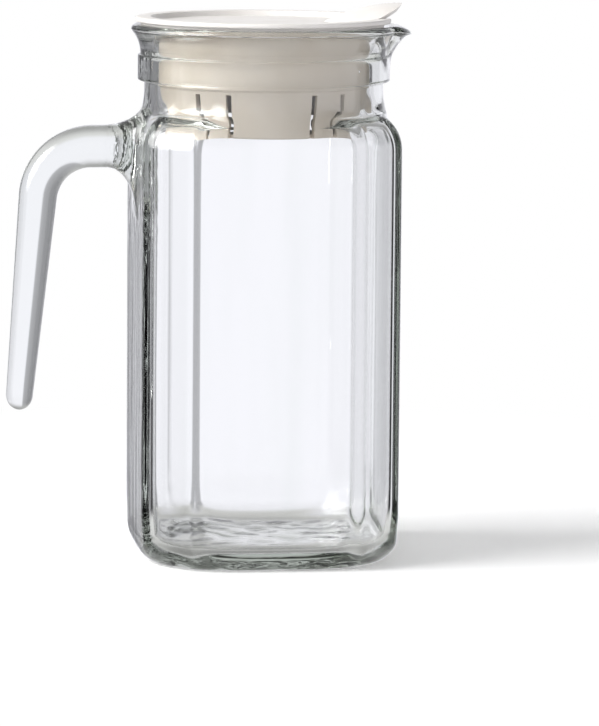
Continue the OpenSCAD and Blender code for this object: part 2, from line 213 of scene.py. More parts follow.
def outsideProfile():
    flareRise = jug["mouthHeight"] - jug["lip"]
    flareCurve = (flareRise ** 2 + jug["flareOut"] ** 2) / (2 * jug["flareOut"])
    flare = []
    for k in range(1, jug["flareSteps"] + 1):
        turn = math.asin(flareRise / flareCurve) * k / jug["flareSteps"]
        edge = jug["flareEdge"] if k == jug["flareSteps"] else 0
        flare.append((mouthRoot + flareCurve * (1 - math.cos(turn)),
                      mouthLevel + flareCurve * math.sin(turn), edge))
    return roundedPath([
        (0, jug["push"], 0), (pushRadius - jug["pushSet"], jug["push"] - jug["pushFall"], jug["pushBend"]),
        (pushRadius, 0, jug["ringEdge"]), (outerRadius, 0, jug["heelRadius"]),
        (outerRadius, shoulderCorner, jug["shoulderRadius"]),
        (neckRadius, neckCorner, jug["shoulderBend"]),
        (neckRadius, beadLevel, jug["beadRoot"]), (beadRadius, beadLevel, jug["beadEdge"]),
        (beadRadius, mouthLevel, jug["beadEdge"]), (mouthRoot, mouthLevel, jug["mouthRoot"]),
        *flare,
        (rimRadius, rimLevel, jug["lip"]), (mouthInner + jug["lipMeet"], rimLevel, 0)])


def insideProfile():
    return roundedPath([
        (mouthInner + jug["lipMeet"], rimLevel, 0), (mouthInner, rimLevel, jug["lipInside"]),
        (boreRadius, boreTopLevel, jug["boreBend"]),
        (boreRadius, innerNeckCorner, jug["shoulderBend"] + jug["wall"]),
        (innerRadius, innerShoulder, jug["shoulderRadius"] - jug["wall"]),
        (innerRadius, jug["base"], jug["heelInside"]), (0, jug["base"], 0)])


def ringSpacing(p):
    # close rings where the wall bends, wide ones where it is straight
    if p.x < 20:
        return jug["floorRings"]
    if jug["sideTop"] - 2 < p.y < neckLevel + 1:
        return jug["shoulderRings"]
    if p.y < 22:
        return jug["footRings"]
    if p.y > neckLevel:
        return jug["neckRings"]
    return jug["upperRings"] if p.y > jug["sideTop"] - 20 else jug["wallRings"]


def pressedRadius(radius, theta, level, inset, heel, sharpness):
    # the turned radius, held in by eight flats with soft edges between them;
    # level is counted from the floor of the wall, where the flats round inwards
    drop = heel - np.sqrt(heel ** 2 - np.clip(heel - level, 0, heel) ** 2)
    rise = np.clip(level / jug["heelRounding"], 0, 1)
    sharpness = jug["heelSharpness"] * (sharpness / jug["heelSharpness"]) ** (rise * rise * (3 - 2 * rise))
    total = (outerRadius / radius) ** sharpness
    for k in range(8):
        distance = (cornerDistance if k % 2 else flatDistance) - inset - drop
        facing = np.maximum(np.cos(theta - math.radians(45 * k)), 0.05)
        total += (outerRadius * facing / distance) ** sharpness
    return outerRadius / total ** (1 / sharpness)


def pressWall(radius, theta, level, flatFrom, flatTo, inset, heel, sharpness):
    # the level floor is stretched out to the pressed outline, the wall above it is pressed,
    # and the shoulder fades from that outline to the round neck
    outline = pressedRadius(np.full_like(radius, flatTo), theta, np.zeros_like(level), inset, heel, sharpness)
    share = np.clip((radius - flatFrom) / (flatTo - flatFrom), 0, 1)
    pressed = pressedRadius(radius, theta, level, inset, heel, sharpness)
    side, neck = (innerRadius, boreRadius) if inset else (outerRadius, neckRadius)
    upright = pressedRadius(np.full_like(radius, side), theta, level, inset, heel, sharpness)
    fade = np.clip((radius - neck) / (side - neck), 0, 1)
    # the wide flats lean in gently, the edges and the clipped corners keep the round shoulder
    height = level + (jug["base"] if inset else 0)
    rise = np.clip((height - jug["leanFrom"]) / (jug["leanTo"] - jug["leanFrom"]), 0, 1)
    reach = (upright - neck) / (side - neck)
    corner = np.clip(reach / jug["cornerShare"] - jug["cornerStart"], 0, 1) ** jug["cornerCurve"]
    fade = fade * corner + (0.5 + 0.5 * np.cos(math.pi * rise)) * (1 - corner)
    shoulder = neck + (upright - neck) * fade
    new = np.where(level + inset > jug["sideTop"] / 2, shoulder, pressed)
    return np.where(level < hair, radius + share * (outline - flatTo), new)


def bow(a, bend, b, t):
    return a * (1 - t) ** 2 + bend * 2 * t * (1 - t) + b * t ** 2


def spoutRing(level, inside):
    # radius at each height of the small trumpet that makes the spout
    low = ((boreRadius if inside else beadRadius) - spoutCentre - jug["spoutSink"], spoutRootLevel)
    high = (jug["spoutRadius"] - (jug["spoutWall"] if inside else 0), rimLevel if inside else spoutTipLevel)
    bend = [low[i] + (high[i] - low[i]) * share for i, share in enumerate(jug["spoutBow"])]
    t = np.linspace(0, 1, 60)
    return np.interp(level, bow(low[1], bend[1], high[1], t), bow(low[0], bend[0], high[0], t))


def pulledOut(radius, level, theta, inside):
    # how far the spout draws a wall outwards
    ring = spoutRing(level, inside)
    across = np.abs(spoutCentre * np.sin(theta))
    reach = spoutCentre * np.cos(theta) + np.sqrt(np.maximum(ring ** 2 - across ** 2, 0))
    reach = np.where((across < ring) & (np.cos(theta) > 0.5), reach, 0)
    return np.maximum(softMost(radius, reach, jug["spoutSoft"]) - radius, 0)


def makeJugGlass():
    outside = evenSpacing(outsideProfile(), ringSpacing)
    inside = evenSpacing(insideProfile(), ringSpacing)
    bm = spinProfile(outside + inside[1:], jug["ringSteps"],
                     [0.0] * len(outside) + [1.0] * (len(inside) - 1))
    piece = finishMesh(bm, "jugGlass")
    points = readPoints(piece.data)
    inner = np.empty(len(points))
    piece.data.attributes["wall"].data.foreach_get("value", inner)
    radius, theta = np.hypot(points[:, 0], points[:, 1]), np.arctan2(points[:, 1], points[:, 0])
    theta += jug["closerAtEdges"] * np.sin(4 * theta) / 4
    level, new = points[:, 2].copy(), radius.copy()
    for side, floor, flatFrom, flatTo, inset, heel, sharpness in (
            (0, 0, pushRadius, footRadius, 0, jug["sideHeel"], jug["edgeSharpness"]),
            (1, jug["base"], jug["floorFlat"], innerRadius - jug["heelInside"], jug["wall"],
             jug["sideHeelInside"], jug["innerSharpness"])):
        low = (inner.round() == side) & (level < jug["leanTo"]) & (radius > flatFrom)
        new[low] = pressWall(
            radius[low], theta[low], level[low] - floor, flatFrom, flatTo, inset, heel, sharpness)
    # the floor inside has the shallow waves of pressed glass
    floor = (inner > 0.5) & (level < jug["base"] + hair)
    x, y = radius[floor] * np.cos(theta[floor]), radius[floor] * np.sin(theta[floor])
    (across, bend, bendAlong), (along, sway, swayAcross) = jug["waveAcross"], jug["waveAlong"]
    waves = np.sin(across * x + bend * np.sin(bendAlong * y))
    waves *= np.cos(along * y + sway * np.sin(swayAcross * x))
    inwards = np.clip((innerRadius - radius[floor]) / jug["waveEdge"], 0, 1)
    points[floor, 2] += jug["floorWave"] * waves * inwards
    # the spout is drawn out of the flare, and its lip drops a little towards the tip
    high = level > spoutRootLevel
    nearRim = level > rimLevel - jug["lip"] - 10 * hair
    lipStart = mouthInner + jug["lipInside"]
    share = np.where(nearRim, np.clip((radius - lipStart) / (rimRadius - lipStart), 0, 1), 1 - inner)
    outer = pulledOut(np.where(nearRim, rimRadius, radius), level, theta, False)
    innerPull = pulledOut(np.where(nearRim, lipStart, radius), level, theta, True)
    new[high] += (share * outer + (1 - share) * innerPull)[high]
    lift = np.clip((level - rimLevel + jug["dropReach"]) / jug["dropReach"], 0, 1)
    tipwards = np.clip((new - rimRadius) / jug["spoutOut"], 0, 1)
    points[:, 2] -= jug["spoutDrop"] * lift * tipwards ** jug["dropCurve"]
    points[:, 0], points[:, 1] = new * np.cos(theta), new * np.sin(theta)
    writePoints(piece.data, points)
    return piece


# glass handle
grip = {
    "armLevel": 113.1, "armLength": 11.8, "bendRadius": 14.9, "lean": 5.2, "length": 59.1,
    "armThick": 11.6, "armWide": 13.5, "tipThick": 7.1, "tipWide": 9.5,
    "rootUp": 7.0, "rootUpLength": 9.0, "rootDown": 12.0, "rootDownLength": 8.0, "rootWide": 20.0,
    "squareness": 2.5, "around": 48, "sunk": 1.4,
    "rootSteps": 16, "bendSteps": 24, "armSteps": 18, "capSteps": 12,
}


def rootSpread(distance, length):
    # 1 at the wall, running out to 0 in a quarter round over the length
    if distance >= length:
        return 0.0
    return 1.0 if distance <= 0 else 1 - math.sqrt(1 - (1 - distance / length) ** 2)


def handleStations():
    # (x, z, direction, thickness, width) along the centre line, from inside the wall to the tip
    bendAngle = 90 - grip["lean"]
    bendLength = grip["bendRadius"] * math.radians(bendAngle)
    whole = bendLength + grip["length"]
    bendX, bendZ = -flatDistance - grip["armLength"], grip["armLevel"] - grip["bendRadius"]

    def sizes(s):
        share = s / whole
        return (grip["armThick"] + (grip["tipThick"] - grip["armThick"]) * share,
                grip["armWide"] + (grip["tipWide"] - grip["armWide"]) * share)

    lean = math.radians(grip["lean"])

    def onArm(g, thick, wide):
        # a station on the straight arm, g below the bend
        return (bendX - grip["bendRadius"] * math.cos(lean) - g * math.sin(lean),
                bendZ + grip["bendRadius"] * math.sin(lean) - g * math.cos(lean),
                270 - grip["lean"], thick, wide)

    rows = []
    inside = jug["neckSet"] + grip["sunk"]
    upLength = grip["rootUpLength"] + jug["neckSet"]
    for i in range(grip["rootSteps"] + 1):
        d = (grip["rootUpLength"] + inside) * (1 - math.cos(math.pi / 2 * i / grip["rootSteps"])) - inside
        up = grip["armThick"] / 2 + grip["rootUp"] * rootSpread(d + jug["neckSet"], upLength)
        down = grip["armThick"] / 2 + grip["rootDown"] * rootSpread(d, grip["rootDownLength"])
        wide = grip["armWide"] + (grip["rootWide"] - grip["armWide"]) * rootSpread(d, grip["rootDownLength"])
        rows.append((-flatDistance - d, grip["armLevel"] + (up - down) / 2, 180.0, up + down, wide))
    for i in range(grip["bendSteps"] + 1):
        a = bendAngle * i / grip["bendSteps"]
        thick, wide = sizes(bendLength * i / grip["bendSteps"])
        rows.append((bendX - grip["bendRadius"] * math.sin(math.radians(a)),
                     bendZ + grip["bendRadius"] * math.cos(math.radians(a)), 180 + a, thick, wide))
    cap = grip["tipThick"] / 2
    for i in range(1, grip["armSteps"] + 1):
        g = (grip["length"] - cap) * i / grip["armSteps"]
        rows.append(onArm(g, *sizes(bendLength + g)))
    thick, wide = sizes(whole)
    for i in range(1, grip["capSteps"]):
        a = math.pi / 2 * i / grip["capSteps"]
        narrow = 1 - grip["tipThick"] / grip["tipWide"] * (1 - math.cos(a))
        rows.append(onArm(grip["length"] - cap * (1 - math.sin(a)), thick * math.cos(a), wide * narrow))
    return rows


def placeRing(verts, row):
    x, z, direction, thick, wide = row
    turn = math.radians(direction)
    for k, v in enumerate(verts):
        a = math.tau * k / len(verts)
        t = thick / 2 * math.copysign(abs(math.cos(a)) ** (2 / grip["squareness"]), math.cos(a))
        w = wide / 2 * math.copysign(abs(math.sin(a)) ** (2 / grip["squareness"]), math.sin(a))
        v.co = (x + t * math.sin(turn), w, z - t * math.cos(turn))


def makeHandle():
    rows = handleStations()
    bm = bmesh.new()
    made = bmesh.ops.create_circle(bm, cap_ends=False, radius=1, segments=grip["around"])
    ring = made["verts"]
    placeRing(ring, rows[0])
    first = list(ring)
    edges = list(bm.edges)
    for row in rows[1:]:
        out = bmesh.ops.extrude_edge_only(bm, edges=edges)["geom"]
        edges = [e for e in out if isinstance(e, bmesh.types.BMEdge)]
        fresh = {v for e in edges for v in e.verts}
        ring = [next(o for e in v.link_edges for o in [e.other_vert(v)] if o in fresh) for v in ring]
        placeRing(ring, row)
        edges = [e for e in edges if e.verts[0] in fresh and e.verts[1] in fresh]
    bmesh.ops.contextual_create(bm, geom=first)
    bmesh.ops.contextual_create(bm, geom=ring)
    bmesh.ops.triangulate(bm, faces=[f for f in bm.faces if len(f.verts) > 4])
    bmesh.ops.recalc_face_normals(bm, faces=bm.faces)
    return finishMesh(bm, "handleTool")


jugGlass = makeJugGlass()
joinShapes(jugGlass, makeHandle(), "UNION")
print("glass made,", len(jugGlass.data.polygons), "faces")


# lid plug, a cup with strainer slots, a flush tongue in front and a pouring gap at the back
plugSizes = {
    "clear": 0.3, "thick": 1.6, "length": 29.6, "sealLength": 16.8, "sealStep": 0.6, "taper": 0.9,
    "floorThick": 1.0, "footEdge": 0.5, "skirtTop": 0.15, "sealFoot": 0.25, "topEdge": 0.3, "cupBend": 0.8,
    "bandHeight": 7.1, "bandDeep": 0.8, "tongueAngle": 27.0, "tongueCorner": 1.3,
    "slotWide": 1.5, "slotLong": 12.0, "slotAngles": (-41.6, -23.4, 23.4, 41.6), "slotTurn": 2.5,
    "gapHeight": 3.0, "gapWide": 34.0,
    "steps": 192, "crease": 32, "bendStep": 22.5, "rings": 5.0,
}
plugRadius = boreRadius - plugSizes["clear"]
skirtRadius = plugRadius - plugSizes["sealStep"]
skirtFoot = skirtRadius - plugSizes["taper"]
plugFoot = rimLevel - plugSizes["length"]
sealLevel = rimLevel - plugSizes["sealLength"]
bandLevel = plugFoot + plugSizes["bandHeight"]


def extrudeOutline(outline, start, end, name, turned=False):
    # a flat outline (x, z) drawn along Y, or (x, y) drawn along Z when turned
    bm = bmesh.new()
    verts = [bm.verts.new((x, y, start) if turned else (x, start, y)) for x, y in outline]
    face = bmesh.ops.contextual_create(bm, geom=verts)["faces"]
    moved = bmesh.ops.extrude_face_region(bm, geom=face)["geom"]
    step = (0, 0, end - start) if turned else (0, end - start, 0)
    bmesh.ops.translate(bm, vec=step, verts=[v for v in moved if isinstance(v, bmesh.types.BMVert)])
    bmesh.ops.recalc_face_normals(bm, faces=bm.faces)
    return finishMesh(bm, name)


def makePlug():
    innerFoot = skirtFoot - plugSizes["thick"]
    sealFoot, cupFloor = sealLevel + plugSizes["sealStep"], plugFoot + plugSizes["floorThick"]
    outline = roundedPath([
        (0, plugFoot, 0), (skirtFoot, plugFoot, plugSizes["footEdge"]),
        (skirtRadius, sealLevel, plugSizes["skirtTop"]),
        (plugRadius, sealFoot, plugSizes["sealFoot"]), (plugRadius, rimLevel, plugSizes["topEdge"]),
        (plugRadius - plugSizes["thick"], rimLevel, plugSizes["topEdge"]),
        (plugRadius - plugSizes["thick"], sealFoot, plugSizes["cupBend"]),
        (innerFoot, cupFloor, plugSizes["cupBend"]), (0, cupFloor, 0)], plugSizes["bendStep"])
    bm = spinProfile(evenSpacing(outline, lambda p: plugSizes["rings"]), plugSizes["steps"])
    plug = finishMesh(bm, "lidPlug")
    # the foot is sunk all round, but for the flush tongue in front;
    # here and below each cutting tool reaches a little past what it cuts
    skirtHeight = plugSizes["length"] - plugSizes["sealLength"]
    topRadius = skirtFoot + plugSizes["taper"] * plugSizes["bandHeight"] / skirtHeight
    sink = [Vector(p) for p in (
        (skirtFoot - plugSizes["bandDeep"], plugFoot - 1), (topRadius - plugSizes["bandDeep"], bandLevel),
        (plugRadius + 1, bandLevel), (plugRadius + 1, plugFoot - 1),
        (skirtFoot - plugSizes["bandDeep"], plugFoot - 1))]
    band = finishMesh(spinProfile(sink, plugSizes["steps"]), "bandTool")
    half = skirtRadius * math.sin(math.radians(plugSizes["tongueAngle"]))
    corner, low, top = plugSizes["tongueCorner"], plugFoot - 2, bandLevel + 1
    side = [(half, low)] + [
        (half + corner * (1 - math.cos(a)), bandLevel - corner * (1 - math.sin(a)))
        for a in (math.pi / 2 * k / 6 for k in range(7))] + [(half + corner, top)]
    tongue = extrudeOutline(side + [(-x, z) for x, z in reversed(side)], -plugRadius - 3, 0, "tongueTool")
    joinShapes(band, tongue, "DIFFERENCE")
    joinShapes(plug, band, "DIFFERENCE")
    for angle in plugSizes["slotAngles"]:
        near, far, wide = innerFoot - 0.5, plugRadius + 1, plugSizes["slotWide"] / 2
        slot = extrudeOutline([(near, -wide), (far, -wide), (far, wide), (near, wide)],
                              plugFoot - 1, plugFoot + plugSizes["slotLong"], "slotTool", True)
        slot.data.transform(Matrix.Rotation(math.radians(angle - plugSizes["slotTurn"] - 90), 4, "Z"))
        joinShapes(plug, slot, "DIFFERENCE")
    gap = plugSizes["gapWide"] / 2
    high = cupFloor + plugSizes["gapHeight"]
    opening = [(-gap, cupFloor), (gap, cupFloor), (gap, high), (-gap, high)]
    joinShapes(plug, extrudeOutline(opening, 5, plugRadius + 2, "gapTool"), "DIFFERENCE")
    creaseEdges(plug, plugSizes["crease"])
    return plug


# lid cover, a dished disc with a spigot below and an arched tab over the spout
coverSizes = {
    "set": 1.2, "thick": 1.4, "seatHeight": 0.7, "seatSet": 1.5, "seatEdge": 0.15, "edge": 0.55,
    "dishSet": 4.8, "dishDeep": 1.5, "dishSlope": 0.5, "dishEdge": 0.6,
    "spigot": 1.0, "spigotClear": 0.2, "spigotEdge": 0.2,
    "tabOut": 2.7, "tabRadius": 17.0, "tabHeight": 3.8, "tabLength": 18.5, "tabArch": 24.0, "tabThick": 1.4,
    "steps": 192, "crease": 32, "bendStep": 15, "rings": 4.0, "tabSteps": 144, "archSteps": 12,
}
coverRadius = rimRadius - coverSizes["set"]
seatLevel = rimLevel + coverSizes["seatHeight"]
coverLevel = seatLevel + coverSizes["thick"]
tabReach = coverRadius + coverSizes["tabOut"]
tabCentre = tabReach - coverSizes["tabRadius"]
tabRidge = (coverSizes["tabLength"] ** 2 + coverSizes["tabHeight"] ** 2) / (2 * coverSizes["tabHeight"])


def tabBarrel(drop, name):
    # barrel lying along Y, whose top is the tab's arched face
    axis, half = tabRidge - coverSizes["tabArch"], coverSizes["tabRadius"]
    outline = [Vector((0, -half))]
    count = coverSizes["archSteps"]
    for k in range(-count, count + 1):
        y = half * k / count
        outline.append(Vector((axis + math.sqrt((coverSizes["tabArch"] - drop) ** 2 - y * y), y)))
    outline.append(Vector((0, half)))
    barrel = finishMesh(spinProfile(outline, coverSizes["steps"] * 2), name)
    barrel.data.transform(Matrix.Rotation(math.pi / 2, 4, "X"))
    place = Vector((tabReach, 0, coverLevel + coverSizes["tabHeight"] - tabRidge)) * millimetre
    barrel.data.transform(Matrix.Translation(place))
    return barrel


def makeCover():
    spigot = plugRadius - plugSizes["thick"] - coverSizes["spigotClear"]
    dish = coverRadius - coverSizes["dishSet"]
    outline = roundedPath([
        (0, rimLevel - coverSizes["spigot"], 0),
        (spigot, rimLevel - coverSizes["spigot"], coverSizes["spigotEdge"]),
        (spigot, rimLevel, 0), (coverRadius - coverSizes["seatSet"], rimLevel, coverSizes["seatEdge"]),
        (coverRadius - coverSizes["seatSet"], seatLevel, 0),
        (coverRadius, seatLevel, coverSizes["edge"]), (coverRadius, coverLevel, coverSizes["edge"]),
        (dish + coverSizes["dishSlope"], coverLevel, coverSizes["dishEdge"]),
        (dish - coverSizes["dishSlope"], coverLevel - coverSizes["dishDeep"], coverSizes["dishEdge"]),
        (0, coverLevel - coverSizes["dishDeep"], 0)], coverSizes["bendStep"])
    rings = evenSpacing(outline, lambda p: coverSizes["rings"])
    cover = finishMesh(spinProfile(rings, coverSizes["steps"]), "lidCover")
    # the tab is the barrel's top, kept inside a short cone and open underneath
    foot = coverRadius - coverSizes["edge"] - tabCentre
    bm = bmesh.new()
    height = coverSizes["thick"] + coverSizes["tabHeight"] + 1
    reach = foot + (coverSizes["tabRadius"] - foot) * height / (coverSizes["thick"] + coverSizes["tabHeight"])
    bmesh.ops.create_cone(bm, cap_ends=True, segments=coverSizes["tabSteps"],
                          radius1=foot, radius2=reach, depth=height)
    bmesh.ops.translate(bm, vec=(tabCentre, 0, seatLevel + height / 2), verts=bm.verts)
    tab = finishMesh(bm, "tabTool")
    joinShapes(tab, tabBarrel(0, "barrelTool"), "INTERSECT")
    joinShapes(cover, tab, "UNION")
    hollow = tabBarrel(coverSizes["tabThick"], "hollowTool")
    inner, outer = plugRadius + coverSizes["tabThick"], tabReach + 3
    openTurn = math.atan(coverSizes["tabRadius"] / tabCentre)
    count = coverSizes["archSteps"]
    turns = [openTurn * k / count for k in range(-count, count + 1)]
    ring = [(inner * math.cos(a), inner * math.sin(a)) for a in turns]
    ring += [(outer * math.cos(a), outer * math.sin(a)) for a in reversed(turns)]
    sector = extrudeOutline(ring, rimLevel - 1, coverLevel + coverSizes["tabHeight"] + 3, "sectorTool", True)
    joinShapes(hollow, sector, "INTERSECT")
    joinShapes(cover, hollow, "DIFFERENCE")
    creaseEdges(cover, coverSizes["crease"])
    return cover


lidPlug = makePlug()
lidCover = makeCover()
print("lid made,", len(lidPlug.data.polygons) + len(lidCover.data.polygons), "faces")


# materials
def newMaterial(name):
    material = bpy.data.materials.new(name)
    material.use_nodes = True
    tree = material.node_tree
    tree.nodes.clear()
    output = tree.nodes.new("ShaderNodeOutputMaterial")
    shader = tree.nodes.new("ShaderNodeBsdfPrincipled")
    tree.links.new(shader.outputs[0], output.inputs["Surface"])
    return material, tree, shader, output


def mathNode(tree, operation, *values):
    node = tree.nodes.new("ShaderNodeMath")
    node.operation = operation
    for socket, value in zip(node.inputs, values):
        if isinstance(value, bpy.types.NodeSocket):
            tree.links.new(value, socket)
        else:
            socket.default_value = value
    return node.outputs[0]


def ranged(tree, value, low, high):
    # runs smoothly from 0 to 1 as the value goes from low to high
    node = tree.nodes.new("ShaderNodeMapRange")
    node.interpolation_type = "SMOOTHSTEP"
    node.inputs["From Min"].default_value, node.inputs["From Max"].default_value = low, high
    tree.links.new(value, node.inputs["Value"])
    return node.outputs[0]


def blendColours(tree, share, first, second):
    node = tree.nodes.new("ShaderNodeMix")
    node.data_type = "RGBA"
    for socket, value in ((node.inputs[0], share), (node.inputs[6], first), (node.inputs[7], second)):
        if isinstance(value, bpy.types.NodeSocket):
            tree.links.new(value, socket)
        else:
            socket.default_value = value
    return node.outputs[2]


def grey(tone):
    return tone, tone, tone, 1


def noiseNode(tree, place, sizes, detail=2.0):
    # noise whose features are about the given sizes in millimetres along x, y and z
    stretch = tree.nodes.new("ShaderNodeMapping")
    stretch.inputs["Scale"].default_value = [1 / (size * millimetre) for size in sizes]
    tree.links.new(place, stretch.inputs["Vector"])
    noise = tree.nodes.new("ShaderNodeTexNoise")
    noise.inputs["Scale"].default_value = 1.0
    noise.inputs["Detail"].default_value = detail
    tree.links.new(stretch.outputs[0], noise.inputs["Vector"])
    return noise.outputs[0]


def bumpNode(tree, shader, height):
    # the height is in millimetres
    bump = tree.nodes.new("ShaderNodeBump")
    bump.inputs["Distance"].default_value = millimetre
    tree.links.new(height, bump.inputs["Height"])
    tree.links.new(bump.outputs[0], shader.inputs["Normal"])


# a pair of places in millimetres says where an effect starts and where it is full
glassFinish = {
    "tint": (0.995, 0.995, 0.995, 1), "index": 1.5, "absorb": (0.86, 0.88, 0.855, 1), "density": 60.0,
    "cordTint": (0.97, 0.975, 0.97, 1), "cordSize": (9, 9, 90), "cordFrom": 0.45, "cordTo": 0.75,
    "footPaintedShade": (0.69, 0.69, 0.675, 1), "footPaintedShadeLevels": (10.0, 3.0),  # painted shade: the glass is tinted darker near the foot, where thick glass looks darker
    "drawn": 0.012, "drawnSize": (5, 5, 70),  # long faint waves all over
    # waves of the side by the handle
    "side": 0.16, "sideSize": (60, 4.5, 55), "sideStart": (31.0, 35.0), "sideEnd": (41.0, 37.0),
    "root": 0.35, "rootSize": (3.2, 4.0, 9.0), "rootStart": (30.0, 36.0), "rootEnd": (50.0, 42.0),
    "rootLevels": (80.0, 98.0),  # wrinkles where the handle was fused on
    "chill": 0.08, "chillSize": (16, 16, 2.2), "chillLevels": (10.0, 2.0),  # wrinkles of the foot
    "seed": 0.05, "seedSpacing": 17.0, "seedSize": 0.035,  # a few small bubbles
    "footWear": 0.28, "wearLevels": (0.35, 0.0), "wearSize": (2, 2, 2), "wearFrom": 0.2, "wearTo": 0.7,
}
plasticFinish = {
    "cover": (0.76, 0.735, 0.705, 1), "coverShade": (0.72, 0.69, 0.65, 1),
    # the plug is the same ivory plastic as the cover; its lighter, warmer tan colours are painted light and
    # warm shade, for how it is lit and shaded inside the glass
    "plug": (0.93, 0.845, 0.735, 1), "plugShade": (0.89, 0.795, 0.675, 1),
    "roughFrom": 0.34, "roughTo": 0.5, "grain": 0.006, "grainSize": 0.35,
    "mottleSize": 14.0, "mottleFrom": 0.35, "mottleTo": 0.7,
    "flowSize": (3.5, 3.5, 10.5), "flowFrom": 0.3, "flowTo": 0.7,  # flow marks run upright
}


def makeGlassMaterial():
    finish = glassFinish
    material, tree, shader, output = newMaterial("clearGlass")
    shader.inputs["IOR"].default_value = finish["index"]
    shader.inputs["Transmission Weight"].default_value = 1.0
    absorb = tree.nodes.new("ShaderNodeVolumeAbsorption")
    absorb.inputs["Color"].default_value = finish["absorb"]
    absorb.inputs["Density"].default_value = finish["density"]
    tree.links.new(absorb.outputs[0], output.inputs["Volume"])
    place = tree.nodes.new("ShaderNodeTexCoord").outputs["Object"]
    parts = tree.nodes.new("ShaderNodeSeparateXYZ")
    tree.links.new(place, parts.inputs[0])
    left, level = mathNode(tree, "MULTIPLY", parts.outputs[0], -1), parts.outputs[2]

    def between(value, limits):
        return ranged(tree, value, limits[0] * millimetre, limits[1] * millimetre)

    def waves(size, height, where):
        # noise of the given height, kept to a place
        noise = mathNode(tree, "MULTIPLY", noiseNode(tree, place, size, 3.0), height)
        return mathNode(tree, "MULTIPLY", where, noise)

    # cords, faint streaks of slightly different glass
    cords = ranged(tree, noiseNode(tree, place, finish["cordSize"]), finish["cordFrom"], finish["cordTo"])
    # painted shade: towards the foot the tint runs to a darker colour
    tint = blendColours(tree, between(level, finish["footPaintedShadeLevels"]),
                        blendColours(tree, cords, finish["tint"], finish["cordTint"]), finish["footPaintedShade"])
    tree.links.new(tint, shader.inputs["Base Color"])
    # the foot is dulled where it rubs on the table
    patchy = ranged(tree, noiseNode(tree, place, finish["wearSize"]), finish["wearFrom"], finish["wearTo"])
    worn = mathNode(tree, "MULTIPLY", between(level, finish["wearLevels"]), patchy)
    tree.links.new(mathNode(tree, "MULTIPLY", worn, finish["footWear"]), shader.inputs["Roughness"])
    # relief of the surface
    drawn = mathNode(tree, "MULTIPLY", noiseNode(tree, place, finish["drawnSize"]), finish["drawn"])
    onSide = mathNode(tree, "MULTIPLY", between(left, finish["sideStart"]), between(left, finish["sideEnd"]))
    side = waves(finish["sideSize"], finish["side"], onSide)
    onRoot = mathNode(tree, "MULTIPLY", between(left, finish["rootStart"]), between(left, finish["rootEnd"]))
    onRoot = mathNode(tree, "MULTIPLY", onRoot, between(level, finish["rootLevels"]))
    root = waves(finish["rootSize"], finish["root"], onRoot)
    chill = waves(finish["chillSize"], finish["chill"], between(level, finish["chillLevels"]))
    cells = tree.nodes.new("ShaderNodeTexVoronoi")
    cells.inputs["Scale"].default_value = 1 / (finish["seedSpacing"] * millimetre)
    tree.links.new(place, cells.inputs["Vector"])
    near = ranged(tree, cells.outputs["Distance"], finish["seedSize"], 0)
    seeds = mathNode(tree, "MULTIPLY", near, finish["seed"])
    height = mathNode(tree, "ADD", mathNode(tree, "ADD", drawn, side), mathNode(tree, "ADD", root, chill))
    bumpNode(tree, shader, mathNode(tree, "ADD", height, seeds))
    return material


def makeGrain():
    # moulded plastic: soft mottle, flow marks and a fine grain, for both pieces of the lid
    group = bpy.data.node_groups.new("mouldedGrain", "ShaderNodeTree")
    group.interface.new_socket("Place", in_out="INPUT", socket_type="NodeSocketVector")
    for name in ("Mottle", "Flow", "Height"):
        group.interface.new_socket(name, in_out="OUTPUT", socket_type="NodeSocketFloat")
    place = group.nodes.new("NodeGroupInput").outputs["Place"]
    result = group.nodes.new("NodeGroupOutput")
    finish = plasticFinish
    mottle = noiseNode(group, place, (finish["mottleSize"],) * 3, 3.0)
    group.links.new(ranged(group, mottle, finish["mottleFrom"], finish["mottleTo"]), result.inputs["Mottle"])
    marks = noiseNode(group, place, finish["flowSize"], 3.0)
    marks = ranged(group, marks, finish["flowFrom"], finish["flowTo"])
    group.links.new(marks, result.inputs["Flow"])
    fine = mathNode(group, "MULTIPLY", noiseNode(group, place, (finish["grainSize"],) * 3), finish["grain"])
    group.links.new(mathNode(group, "MULTIPLY_ADD", marks, finish["grain"], fine), result.inputs["Height"])
    return group


def makePlastic(name, colour, shade):
    material, tree, shader, _ = newMaterial(name)
    grain = tree.nodes.new("ShaderNodeGroup")
    grain.node_tree = mouldedGrain
    tree.links.new(tree.nodes.new("ShaderNodeTexCoord").outputs["Object"], grain.inputs["Place"])
    tree.links.new(blendColours(tree, grain.outputs["Mottle"], colour, shade), shader.inputs["Base Color"])
    rough = tree.nodes.new("ShaderNodeMapRange")
    rough.inputs["To Min"].default_value = plasticFinish["roughFrom"]
    rough.inputs["To Max"].default_value = plasticFinish["roughTo"]
    tree.links.new(grain.outputs["Flow"], rough.inputs["Value"])
    tree.links.new(rough.outputs[0], shader.inputs["Roughness"])
    bumpNode(tree, shader, grain.outputs["Height"])
    return material


glassMaterial = makeGlassMaterial()
mouldedGrain = makeGrain()
coverPlastic = makePlastic("coverPlastic", plasticFinish["cover"], plasticFinish["coverShade"])
# the plug's colours hold painted light and warm shade on the cover's ivory plastic
plugPaintedLightAndShadePlastic = makePlastic("plugPaintedLightAndShadePlastic", plasticFinish["plug"], plasticFinish["plugShade"])

jugGlass.data.materials.append(glassMaterial)
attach(jugGlass, "jug")
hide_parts("jug_body", "handle")
for piece, node, plastic in ((lidPlug, "lid_plug", plugPaintedLightAndShadePlastic), (lidCover, "lid_cover", coverPlastic)):
    piece.data.materials.append(plastic)
    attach(piece, "lid")
    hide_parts(node)


